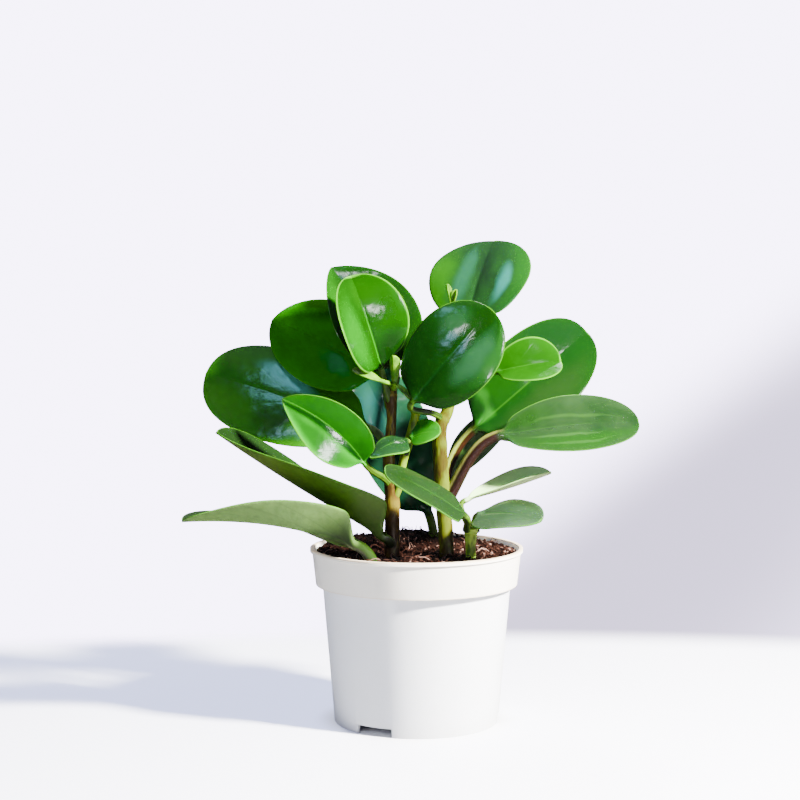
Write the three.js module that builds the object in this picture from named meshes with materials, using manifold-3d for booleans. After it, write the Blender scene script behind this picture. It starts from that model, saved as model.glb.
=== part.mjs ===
// A potted peperomia: a white plastic nursery pot, its soil, four fleshy stems, nineteen leaves and two
// young shoots. Millimetres, +Z up, seen from the front along +Y. The origin is the centre of the pot's
// foot on the surface that it stands on.
import * as THREE from "three";
import { mergeVertices } from "three/addons/utils/BufferGeometryUtils.js";
import Module from "manifold-3d";

const wasm = await Module();
wasm.setup();

// Driving dimensions
const POT_HEIGHT = 98;
const LIP_RADIUS = 60;
const LIP_TALL = 2.4;
const BAND_TOP_RADIUS = 58.8;
const BAND_FOOT_RADIUS = 56.8;
const BAND_TALL = 20.4;
const BODY_TOP_RADIUS = 53;
const FOOT_RADIUS = 46.4;
const WALL = 1.8;
const FLOOR_UNDERSIDE = 4.2;
const POT_SIDES = 60;
const NOTCH_WIDTH = 21.5;
const NOTCH_TALL = 4.9;
const NOTCH_COUNT = 3;
const FIRST_NOTCH_DEG = -30.6; // turned from the front towards the right
const NOTCH_REACH = 12; // through the wall of the foot
const DRAIN_RADIUS = 4;
const DRAIN_RING = 30;
const DRAIN_SIDES = 16;
const LIP_WIDTH = 2;
const LIP_EASE = 0.6; // the slope that breaks the lip's edges
const BAND_EASE = 0.8; // the slope that breaks the band's lower edge

const SOIL_RINGS = 9;
const SOIL_SECTORS = 40;
const SOIL_EDGE_HEIGHT = 95.4;
const SOIL_EDGE_DROP = 1.5;
const STANDS_IN_SOIL_TO = 74;

// The soil is heaped up behind the stems and a little at the left.
const HEAPS = [
  { height: 6.5, x: -2, y: 34, wide: 26, deep: 20 },
  { height: 2.4, x: -34, y: 24, wide: 20, deep: 26 },
];

const GAP = 0.3; // between two pieces that touch
const BLADE_THICKNESS = 1.5;
const EDGE_THICKNESS = 0.9;
const FLARE = 0.1; // share of the blade over which the stalk flattens into it

const COLOURS = {
  plastic: 0xf2f1ee,
  soil: 0x3d2317,
  leaf: 0x1f6b1c,
  young_leaf: 0x58a81f,
  stem_brown: 0x6b4a22,
  stem_golden: 0xa39a3c,
  stem_green: 0x9dbb5a,
  shoot: 0xb4cc3f,
};

const vector = ([x, y, z]) => new THREE.Vector3(x, y, z);

// Stems run up through these points; the fourth number of each is the radius there.
const STEMS = {
  stem_left: {
    colour: "stem_brown",
    through: [
      [-13.7, -22, STANDS_IN_SOIL_TO, 4.2],
      [-13.7, -22, 98, 4.4],
      [-13.7, -20, 127, 4.1],
      [-15.4, -18, 149, 3.2],
      [-14, -18, 171, 2.7],
      [-14.3, -18, 184, 3.5],
      [-14.2, -18, 189, 2.8],
    ],
  },
  stem_right: {
    colour: "stem_golden",
    through: [
      [16.5, -20, STANDS_IN_SOIL_TO, 4.1],
      [16.5, -20, 98, 4.1],
      [14.5, -18, 127, 4.3],
      [12.8, -17, 154, 4.1],
      [13.2, -16, 168, 3.8],
      [18, -13, 180, 3.2],
      [20, -8, 214, 2.9],
      [19.8, -5, 231, 2.4],
    ],
  },
  stem_side: {
    colour: "stem_green",
    from: "stem_left",
    through: [
      [-13.6, -20, 126, 2.4],
      [-10.6, -21, 133, 2.4],
      [-7.7, -22, 148, 2.3],
      [-4.4, -22, 160, 2.7],
      [-1, -22, 173, 2.4],
      [-0.6, -22, 176, 2.8],
    ],
  },
  stem_short: {
    colour: "stem_green",
    through: [
      [29.6, -26, STANDS_IN_SOIL_TO, 2.8],
      [29.6, -26, 98, 2.8],
      [29.6, -26, 107, 3.2],
      [29.6, -27, 113, 4.4],
    ],
  },
};

// Each leaf goes from the middle of its stem (foot) up its stalk to the base of its blade, and on to its tip.
// face is the way that the upper side looks; arch and sway bow the midrib towards face and sideways.
// fold raises both halves of the blade in a V and curl rolls them on up, in radians; twist turns the tip.
// A low taper makes the blade broad from its base on, and a low round makes its tip blunt. rise is how
// steeply the stalk leaves its stem.
const LEAVES = {
  leaf_top: {
    stem: "stem_right", foot: [20.2, -7.6, 217], base: [28.5, -3, 225], tip: [44.5, 30, 270.5],
    face: [-0.3, -0.75, 0.55], width: 60, arch: 3, fold: 0.12, curl: -0.15, stalk: 2, taper: 0.5,
    round: 0.45,
  },
  leaf_behind_left: {
    stem: "stem_left", foot: [-13.4, -17.2, 184.5], base: [-12, -11, 199], tip: [-47.5, -9, 255],
    face: [0.38, -0.87, 0.31], width: 58, arch: 3, fold: 0.45, curl: -0.1, stalk: 1.9, taper: 0.5,
    round: 0.75,
  },
  leaf_bright_front: {
    stem: "stem_left", foot: [-14.2, -18, 180], base: [-19.8, -27, 200.5], tip: [-36, -38, 250], rise: -0.3,
    face: [0.5, -0.83, 0.25], width: 48, arch: 5, sway: -2.5, fold: 0.45, curl: -0.2, stalk: 1.7, taper: 0.55,
    young: true,
  },
  leaf_upper_left: {
    stem: "stem_left", foot: [-15, -17.8, 177.5], base: [-21, -11, 195.5], tip: [-82, 16, 225.5], rise: -0.2,
    face: [0.1, -0.93, 0.25], width: 52, arch: 3, sway: 1.5, fold: 0.1, curl: -0.2, stalk: 1.8, taper: 0.5,
    round: 0.55,
  },
  leaf_wide_left: {
    stem: "stem_left", foot: [-15.2, -18, 151], base: [-27, -6, 166], tip: [-119.5, 12, 195.5],
    face: [0, -0.9, 0.35], width: 56, arch: 4, fold: 0.05, curl: -0.2, stalk: 2.2, taper: 0.6, round: 0.42,
  },
  leaf_front_left: {
    stem: "stem_left", foot: [-14.2, -19.5, 134], base: [-28.4, -37, 149], tip: [-72, -50, 184.7],
    face: [-0.1, -0.93, -0.05], width: 37, arch: 3, sway: 5, fold: 0.5, curl: 0.1, stalk: 1.7, taper: 0.65,
    round: 0.8, young: true,
  },
  leaf_long_left: {
    stem: "stem_left", foot: [-13.7, -21.8, 101], base: [-18.5, -31, 108], tip: [-108, -44, 166.5],
    face: [0.5, 0.15, 0.86], width: 48, arch: -1.5, fold: 0.5, twist: -1, stalk: 2.6, taper: 0.18, round: 0.5,
  },
  leaf_low_left: {
    foot: [-19, -38, STANDS_IN_SOIL_TO], base: [-33.5, -42, 105.5], tip: [-125.3, -55, 120],
    face: [0.1, 0.42, 0.9], width: 41, arch: 4.5, fold: 0.44, twist: -0.8, stalk: 3.2, taper: 0.25,
    round: 0.48,
  },
  leaf_dark_front: {
    stem: "stem_right", foot: [13.6, -15.8, 171], base: [-2.8, -36, 182], tip: [40, -34, 232.3],
    face: [-0.05, -0.97, 0.2], width: 50, arch: 4, fold: 0.05, curl: -0.35, stalk: 1.8, taper: 0.5,
    round: 0.45,
  },
  leaf_small_right: {
    stem: "stem_right", foot: [18.4, -12, 184], base: [43, -19, 197.5], tip: [79.5, -16, 203],
    face: [0, -0.85, 0.5], width: 31, arch: 2, fold: 0.5, stalk: 1.5, taper: 0.6, young: true,
  },
  leaf_wide_right: {
    stem: "stem_right", foot: [14.2, -18, 133.5], base: [32.5, 5, 164], tip: [99, 36, 218.5],
    face: [0.1, -0.95, 0.15], width: 53, arch: 4, fold: 0.15, curl: -0.1, stalk: 2.5, taper: 0.42,
    round: 0.42,
  },
  leaf_far_right: {
    stem: "stem_right", foot: [14.7, -18.2, 124], base: [46, -16, 162.5], tip: [125, 2, 168.5], rise: 0.1,
    face: [0, -0.8, 0.5], width: 36, arch: 4, fold: 0.15, stalk: 3.1, taper: 0.6,
  },
  leaf_inner_right: {
    stem: "stem_right", foot: [14.8, -18, 121], base: [20.5, 6, 140], tip: [55, 26, 171.5],
    face: [-0.3, 0.95, -0.2], width: 21, arch: 2, sway: 3, curl: 0.1, stalk: 1.8, taper: 0.5,
  },
  leaf_thin_right: {
    stem: "stem_short", foot: [29.6, -26.4, 108], base: [27, -14, 126], tip: [76, 4, 139.5],
    face: [-0.3, -0.3, 0.9], width: 22, arch: -1, fold: 0.6, stalk: 1.6,
  },
  leaf_fork_left: {
    stem: "stem_short", foot: [27.5, -28.4, 111], base: [25.5, -40, 121], tip: [-17.8, -56, 147],
    face: [0.1, -0.5, 0.87], width: 25, arch: 2, fold: 0.1, curl: -0.2, stalk: 2, taper: 0.2, round: 0.32,
  },
  leaf_fork_right: {
    stem: "stem_short", foot: [32, -26, 110], base: [33.5, -30, 120], tip: [66, -56, 120.5],
    face: [0.1, -0.5, 0.87], width: 36, arch: 2, fold: 0.1, curl: -0.2, stalk: 2, taper: 0.4, round: 0.6,
  },
  leaf_tongue: {
    stem: "stem_side", foot: [-6.2, -22, 152], base: [-5.8, -29, 160.5], tip: [-25.5, -40, 152.3],
    face: [0.1, -0.5, 0.85], width: 17, arch: 3, fold: -0.2, stalk: 1.7, taper: 0.25, round: 0.7, young: true,
  },
  leaf_young_front: {
    stem: "stem_side", foot: [-3.8, -22, 162], base: [-3.2, -25.2, 162.2], tip: [13, -30, 166.3],
    face: [0, -0.75, 0.65], width: 17, arch: 1, fold: 0.2, stalk: 1.5, taper: 0.35, young: true,
  },
  leaf_tall_back: {
    foot: [10, 31, STANDS_IN_SOIL_TO], base: [7, 27, 114], tip: [-32, 12, 199.5],
    face: [0.2, -0.97, 0.1], width: 46, arch: 2, fold: 0.1, curl: -0.1, stalk: 2.6, taper: 0.45, round: 0.4,
  },
};

// A shoot is a few small folded leaves that are one piece: they share a foot on the end of their stem.
const SHOOTS = {
  shoot_left: {
    stem: "stem_left", foot: [-13, -19, 188.4],
    leaves: [
      {
        base: [-12.6, -26, 192], tip: [-12.8, -36, 207], face: [0.3, 0.8, 0.5],
        width: 8, fold: 0.7, stalk: 1.8,
      },
      {
        base: [-19.5, -34, 193.5], tip: [-35, -38.5, 199.5], face: [0, -0.6, 0.8],
        width: 7.5, fold: 0.3, stalk: 1.2,
      },
      {
        base: [-12, -27, 191.5], tip: [-3.5, -31, 183], face: [0.5, -0.6, 0.6],
        width: 5, fold: 0.5, stalk: 1.2,
      },
    ],
  },
  shoot_right: {
    stem: "stem_right", foot: [19.8, -5.2, 230],
    leaves: [
      {
        base: [19, -7, 235], tip: [16.5, -9, 246], face: [0.6, -0.8, 0.1],
        width: 4, fold: 0.7, stalk: 1.2,
      },
      {
        base: [20, -7, 235], tip: [22, -9, 243], face: [-0.4, -0.9, 0.1],
        width: 4, fold: 0.7, stalk: 1.2,
      },
    ],
  },
};

// Solids

function solidOf(geometry) {
  const bare = geometry.clone();
  bare.deleteAttribute("normal");
  bare.deleteAttribute("uv");
  const merged = mergeVertices(bare, 1e-4);
  return new wasm.Manifold(
    new wasm.Mesh({
      numProp: 3,
      vertProperties: new Float32Array(merged.attributes.position.array),
      triVerts: new Uint32Array(merged.index.array),
    }),
  );
}

function geometryOf(solid) {
  const mesh = solid.getMesh();
  const geometry = new THREE.BufferGeometry();
  geometry.setAttribute("position", new THREE.BufferAttribute(mesh.vertProperties, 3));
  geometry.setIndex(new THREE.BufferAttribute(mesh.triVerts, 1));
  return geometry;
}

// Joins rings of points, all of one count, into a closed solid with flat ends. A ring's second half runs back
// along its first, so both faces of a thin blade are split along the same diagonals.
function loft(rings) {
  const count = rings[0].length;
  const points = rings.flat();
  const faces = [];
  for (let i = 0; i + 1 < rings.length; i += 1) {
    for (let j = 0; j < count; j += 1) {
      const a = i * count + j;
      const b = i * count + ((j + 1) % count);
      const c = b + count;
      const d = a + count;
      if (j < count / 2) faces.push(a, b, c, a, c, d);
      else faces.push(a, b, d, b, c, d);
    }
  }
  const last = (rings.length - 1) * count;
  for (let j = 1; j + 1 < count; j += 1) {
    faces.push(0, j + 1, j);
    faces.push(last, last + j, last + j + 1);
  }
  const geometry = new THREE.BufferGeometry().setFromPoints(points);
  geometry.setIndex(faces);
  return solidOf(geometry);
}

// Stems

function stemSolid({ through }, grow = 0) {
  const sides = 10;
  const path = new THREE.CatmullRomCurve3(through.map(vector));
  const steps = 3 * (through.length - 1);
  const rings = [];
  for (let i = 0; i <= steps; i += 1) {
    const at = i / steps;
    const centre = path.getPoint(at);
    const ahead = path.getTangent(at);
    const right = new THREE.Vector3(1, 0, 0).addScaledVector(ahead, -ahead.x).normalize();
    const back = ahead.clone().cross(right);
    const place = at * (through.length - 1);
    const low = Math.min(Math.floor(place), through.length - 2);
    const radius = THREE.MathUtils.lerp(through[low][3], through[low + 1][3], place - low) + grow;
    if (i === 0) centre.addScaledVector(ahead, -grow);
    if (i === steps) centre.addScaledVector(ahead, grow);
    rings.push(
      Array.from({ length: sides }, (_, k) => {
        const turn = (2 * Math.PI * k) / sides;
        return centre
          .clone()
          .addScaledVector(right, radius * Math.cos(turn))
          .addScaledVector(back, radius * Math.sin(turn));
      }),
    );
  }
  return loft(rings);
}

// Leaves

const ACROSS = [-1, -0.55, 0, 0.55, 1]; // places across the blade, from its left edge to its right
const STALK_STEPS = 4;
const BLADE_STEPS = 11;
const SHOOT_STEPS = 6;

// The midrib's frame: where it is at a share of the blade's length, the way it runs, and its two sides.
function bladeFrame(leaf) {
  const base = vector(leaf.base);
  const chord = vector(leaf.tip).sub(base);
  const along = chord.clone().normalize();
  const up = vector(leaf.face);
  up.addScaledVector(along, -up.dot(along)).normalize();
  const side = along.clone().cross(up);
  const arch = leaf.arch ?? 0;
  const sway = leaf.sway ?? 0;
  return (share) => {
    const bow = 4 * share * (1 - share);
    const slope = 4 - 8 * share;
    const centre = base
      .clone()
      .addScaledVector(chord, share)
      .addScaledVector(up, arch * bow)
      .addScaledVector(side, sway * bow);
    const ahead = chord
      .clone()
      .addScaledVector(up, arch * slope)
      .addScaledVector(side, sway * slope)
      .normalize();
    const right = side.clone().applyAxisAngle(ahead, (leaf.twist ?? 0) * (share - 0.5));
    right.addScaledVector(ahead, -right.dot(ahead)).normalize();
    return { centre, ahead, right, up: right.clone().cross(ahead) };
  };
}

function halfWidth(leaf, share) {
  const rise = leaf.taper ?? 0.8;
  const round = leaf.round ?? 0.5;
  const widest = rise / (rise + round);
  const outline = (s) => s ** rise * (1 - s) ** round;
  const blade = (leaf.width / 2) * (outline(share) / outline(widest));
  return Math.hypot(blade, leaf.stalk * (1 - share), 0.6);
}

// How far out and up a point of the blade lies, for each unit of half-width, at a place across it.
function foldedPlace(leaf, place) {
  const fold = leaf.fold ?? 0;
  const curl = leaf.curl ?? 0;
  const far = Math.abs(place);
  const end = fold + curl * far;
  const even = Math.abs(curl) < 1e-3;
  const out = even ? far * Math.cos(fold) : (Math.sin(end) - Math.sin(fold)) / curl;
  const lift = even ? far * Math.sin(fold) : (Math.cos(fold) - Math.cos(end)) / curl;
  return { out: Math.sign(place) * out, lift };
}

function stalkPath(leaf, frameAt) {
  const foot = vector(leaf.foot);
  const { centre, ahead } = frameAt(0);
  const reach = centre.distanceTo(foot);
  const leaving = centre.clone().sub(foot).normalize();
  leaving.z += leaf.rise ?? 0.7;
  leaving.normalize();
  return new THREE.CubicBezierCurve3(
    foot,
    foot.clone().addScaledVector(leaving, reach * 0.35),
    centre.clone().addScaledVector(ahead, -reach * 0.35),
    centre,
  );
}

function roundRing(centre, right, up, radius) {
  const count = 2 * ACROSS.length;
  return Array.from({ length: count }, (_, k) => {
    const turn = Math.PI - ((k + 0.5) * 2 * Math.PI) / count;
    return centre
      .clone()
      .addScaledVector(right, radius * Math.cos(turn))
      .addScaledVector(up, radius * Math.sin(turn));
  });
}

function bladeRing(leaf, frame, share) {
  const { centre, right, up } = frame;
  const half = halfWidth(leaf, share);
  const point = (place, face) => {
    const { out, lift } = foldedPlace(leaf, place);
    const thick = THREE.MathUtils.lerp(BLADE_THICKNESS, EDGE_THICKNESS, Math.abs(place));
    return centre
      .clone()
      .addScaledVector(right, half * out)
      .addScaledVector(up, half * lift + (face * thick) / 2);
  };
  return [...ACROSS.map((place) => point(place, 1)), ...ACROSS.map((place) => point(-place, -1))];
}

function stalkRings(leaf, grow = 0) {
  const frameAt = bladeFrame(leaf);
  const path = stalkPath(leaf, frameAt);
  const { right } = frameAt(0);
  const rings = [];
  for (let i = STALK_STEPS - 1; i >= 0; i -= 1) {
    const at = i / STALK_STEPS;
    const ahead = path.getTangent(at);
    right.addScaledVector(ahead, -right.dot(ahead)).normalize();
    const radius = leaf.stalk * (1.15 - 0.15 * at) + grow;
    const centre = path.getPoint(at).addScaledVector(ahead, i === 0 ? -grow : 0);
    rings.unshift(roundRing(centre, right, right.clone().cross(ahead), radius));
  }
  return rings;
}

function leafSolid(leaf, steps = BLADE_STEPS) {
  const frameAt = bladeFrame(leaf);
  const rings = stalkRings(leaf);
  for (let i = 0; i <= steps; i += 1) {
    const share = (1 - Math.cos((Math.PI * i) / steps)) / 2;
    const frame = frameAt(share);
    const flat = THREE.MathUtils.smoothstep(share, 0, FLARE);
    const stalk = roundRing(frame.centre, frame.right, frame.up, leaf.stalk);
    const blade = bladeRing(leaf, frame, share);
    rings.push(stalk.map((point, k) => point.lerp(blade[k], flat)));
  }
  return loft(rings);
}

// The pot

function potSolid() {
  const bandFoot = POT_HEIGHT - BAND_TALL;
  const lipFoot = POT_HEIGHT - LIP_TALL;
  const floor = FLOOR_UNDERSIDE + WALL;
  const wallAt = (z) => THREE.MathUtils.lerp(FOOT_RADIUS, BODY_TOP_RADIUS, z / bandFoot);
  const profile = [
    [0, FLOOR_UNDERSIDE],
    [FOOT_RADIUS - WALL, FLOOR_UNDERSIDE],
    [FOOT_RADIUS - WALL, 0],
    [FOOT_RADIUS, 0],
    [BODY_TOP_RADIUS, bandFoot],
    [BAND_FOOT_RADIUS - BAND_EASE, bandFoot],
    [BAND_FOOT_RADIUS, bandFoot + BAND_EASE],
    [BAND_TOP_RADIUS, lipFoot],
    [LIP_RADIUS, lipFoot + LIP_EASE],
    [LIP_RADIUS, POT_HEIGHT - LIP_EASE],
    [LIP_RADIUS - LIP_EASE, POT_HEIGHT],
    [LIP_RADIUS - LIP_WIDTH, POT_HEIGHT],
    [BAND_TOP_RADIUS - WALL, lipFoot],
    [BAND_FOOT_RADIUS - WALL, bandFoot + WALL],
    [BODY_TOP_RADIUS - WALL, bandFoot],
    [wallAt(floor) - WALL, floor],
    [0, floor],
  ];
  const lathe = new THREE.LatheGeometry(profile.map(([r, z]) => new THREE.Vector2(r, z)), POT_SIDES);
  lathe.rotateX(Math.PI / 2);
  let pot = solidOf(lathe);
  for (let i = 0; i < NOTCH_COUNT; i += 1) {
    const turn = THREE.MathUtils.degToRad(FIRST_NOTCH_DEG + (360 / NOTCH_COUNT) * i);
    const notch = new THREE.BoxGeometry(NOTCH_WIDTH, NOTCH_REACH, 2 * NOTCH_TALL);
    notch.translate(0, -(FOOT_RADIUS - WALL), 0).rotateZ(turn);
    const drain = new THREE.CylinderGeometry(DRAIN_RADIUS, DRAIN_RADIUS, 4 * floor, DRAIN_SIDES);
    drain.rotateX(Math.PI / 2).translate(0, -DRAIN_RING, 0).rotateZ(turn + Math.PI / NOTCH_COUNT);
    pot = pot.subtract(solidOf(notch)).subtract(solidOf(drain));
  }
  return pot;
}

// The soil

// The height of the soil, with its heaps, and crumbs as small bumps.
function soilHeight(x, y) {
  const heaped = HEAPS.map((heap) => {
    const away = ((x - heap.x) / heap.wide) ** 2 + ((y - heap.y) / heap.deep) ** 2;
    return heap.height * Math.exp(-away);
  });
  const crumbs = 0.5 * Math.sin(0.9 * x + 1.3) * Math.sin(0.8 * y) + 0.4 * Math.sin(0.5 * x - 0.7 * y);
  return SOIL_EDGE_HEIGHT + heaped.reduce((a, b) => a + b) + crumbs;
}

function soilSolid(standing) {
  const floor = FLOOR_UNDERSIDE + WALL + GAP;
  const bandFoot = POT_HEIGHT - BAND_TALL;
  const inner = (z) => THREE.MathUtils.lerp(FOOT_RADIUS, BODY_TOP_RADIUS, z / bandFoot) - WALL - GAP;
  const rim = BAND_TOP_RADIUS - WALL - 2 * GAP;
  const wall = [
    [inner(floor), floor],
    [inner(bandFoot), bandFoot + GAP],
    [BAND_FOOT_RADIUS - WALL - 2 * GAP, bandFoot + WALL + GAP],
    [rim, SOIL_EDGE_HEIGHT - SOIL_EDGE_DROP],
  ];
  const around = (radius, height) =>
    Array.from({ length: SOIL_SECTORS }, (_, k) => {
      const turn = (2 * Math.PI * k) / SOIL_SECTORS;
      const x = radius * Math.cos(turn);
      const y = radius * Math.sin(turn);
      return new THREE.Vector3(x, y, height ?? soilHeight(x, y));
    });
  const rings = wall.map(([radius, z]) => around(radius, z));
  for (let i = SOIL_RINGS; i >= 1; i -= 1) rings.push(around((rim * i) / SOIL_RINGS));
  let soil = loft(rings);
  for (const piece of standing) soil = soil.subtract(piece);
  return soil;
}

// The whole plant in its pot

const materialOf = (colour, roughness) =>
  new THREE.MeshStandardMaterial({ color: COLOURS[colour], roughness, metalness: 0 });

const part = new THREE.Group();
function add(name, solid, colour, roughness) {
  const mesh = new THREE.Mesh(geometryOf(solid), materialOf(colour, roughness));
  mesh.name = name;
  part.add(mesh);
}

add("pot", potSolid(), "plastic", 0.4);

const standing = [];
for (const [name, stem] of Object.entries(STEMS)) {
  let solid = stemSolid(stem);
  if (stem.from) solid = solid.subtract(stemSolid(STEMS[stem.from], GAP));
  else standing.push(stemSolid(stem, GAP));
  add(name, solid, stem.colour, 0.5);
}

for (const [name, leaf] of Object.entries(LEAVES)) {
  let solid = leafSolid(leaf);
  if (leaf.stem) solid = solid.subtract(stemSolid(STEMS[leaf.stem], GAP));
  else standing.push(loft(stalkRings(leaf, GAP)));
  add(name, solid, leaf.young ? "young_leaf" : "leaf", 0.25);
}

for (const [name, { stem, foot, leaves }] of Object.entries(SHOOTS)) {
  const joined = leaves.map((leaf) => leafSolid({ ...leaf, foot }, SHOOT_STEPS)).reduce((a, b) => a.add(b));
  add(name, joined.subtract(stemSolid(STEMS[stem], GAP)), "shoot", 0.4);
}

add("soil", soilSolid(standing), "soil", 1);

export default part;
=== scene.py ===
"""A potted peperomia: glossy leaves on fleshy stems, in a white nursery pot of dark soil."""

import random
from math import copysign, cos, exp, hypot, pi, radians, sin, sqrt

import bpy
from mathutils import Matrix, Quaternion, Vector, noise


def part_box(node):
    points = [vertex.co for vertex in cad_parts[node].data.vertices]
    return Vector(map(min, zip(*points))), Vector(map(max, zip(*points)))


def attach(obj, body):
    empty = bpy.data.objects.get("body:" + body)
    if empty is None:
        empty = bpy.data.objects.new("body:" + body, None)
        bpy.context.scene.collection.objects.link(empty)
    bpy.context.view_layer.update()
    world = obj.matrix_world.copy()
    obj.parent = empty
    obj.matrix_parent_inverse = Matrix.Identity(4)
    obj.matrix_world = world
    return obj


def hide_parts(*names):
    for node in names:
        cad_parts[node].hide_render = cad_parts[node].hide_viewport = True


bl_info = {
    "name": "Potted Peperomia",
    "version": (1, 0, 0),
    "blender": (4, 5, 0),
    "location": "3D View > Sidebar > Peperomia",
    "description": "Builds a peperomia with its leaves, stems, soil and pot",
    "category": "Add Mesh",
}

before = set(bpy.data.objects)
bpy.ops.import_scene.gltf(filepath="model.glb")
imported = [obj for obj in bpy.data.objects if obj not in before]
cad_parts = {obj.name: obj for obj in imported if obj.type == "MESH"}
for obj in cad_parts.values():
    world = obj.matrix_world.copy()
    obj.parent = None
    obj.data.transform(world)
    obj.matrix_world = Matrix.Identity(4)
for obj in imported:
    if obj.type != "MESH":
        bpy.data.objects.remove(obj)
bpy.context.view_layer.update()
BODY = "root"
MM = 0.001
_, POT_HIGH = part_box("pot")
SOIL_LOW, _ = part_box("soil")


# Paints

def paint(text):
    """A linear colour from its usual six signs."""
    parts = [int(text[i:i + 2], 16) / 255 for i in (0, 2, 4)]
    return (*[p / 12.92 if p <= 0.04045 else ((p + 0.055) / 1.055) ** 2.4 for p in parts], 1.0)


# The plant, in millimetres
# A stem runs up through its points; the fourth number of each is the radius there.
STEMS = {
    "stem_left": dict(
        slot="stem_brown", through=[(-13.7, -22, 74, 4.2), (-13.7, -22, 98, 4.4), (-13.7, -20, 127, 4.1),
        (-15.4, -18, 149, 3.2), (-14, -18, 171, 2.7), (-14.3, -18, 184, 3.5), (-14.2, -18, 189, 2.8)],
        skin=dict(base="3c2a10", light="6b6418", dark="180d05", light_share=0.45), joints=(0.32, 0.5, 0.86)),
    "stem_right": dict(
        slot="stem_golden", through=[(16.5, -20, 74, 4.1), (16.5, -20, 98, 4.1), (14.5, -18, 127, 4.3),
        (12.8, -17, 154, 4.1), (13.2, -16, 168, 3.8), (18, -13, 180, 3.2), (20, -8, 214, 2.9),
        (19.8, -5, 231, 2.4)], skin=dict(base="36320a", light="4e5c0c", dark="2a1508", light_share=0.5),
        joints=(0.3, 0.46, 0.62)),
    "stem_side": dict(
        slot="stem_green", through=[(-13.6, -20, 126, 2.4), (-10.6, -21, 133, 2.4), (-7.7, -22, 148, 2.3),
        (-4.4, -22, 160, 2.7), (-1, -22, 173, 2.4), (-0.6, -22, 176, 2.8)],
        skin=dict(base="38550a", light="647d0d", dark="25350f", light_share=0.6), joints=(0.55, 0.9)),
    "stem_short": dict(
        slot="stem_green", through=[(29.6, -26, 74, 2.8), (29.6, -26, 98, 2.8), (29.6, -26, 107, 3.2),
        (29.6, -27, 113, 4.4)], skin=dict(base="5c8220", light="8aa83c", dark="3c5a18", light_share=0.6),
        joints=(0.82,)),
}

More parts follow.
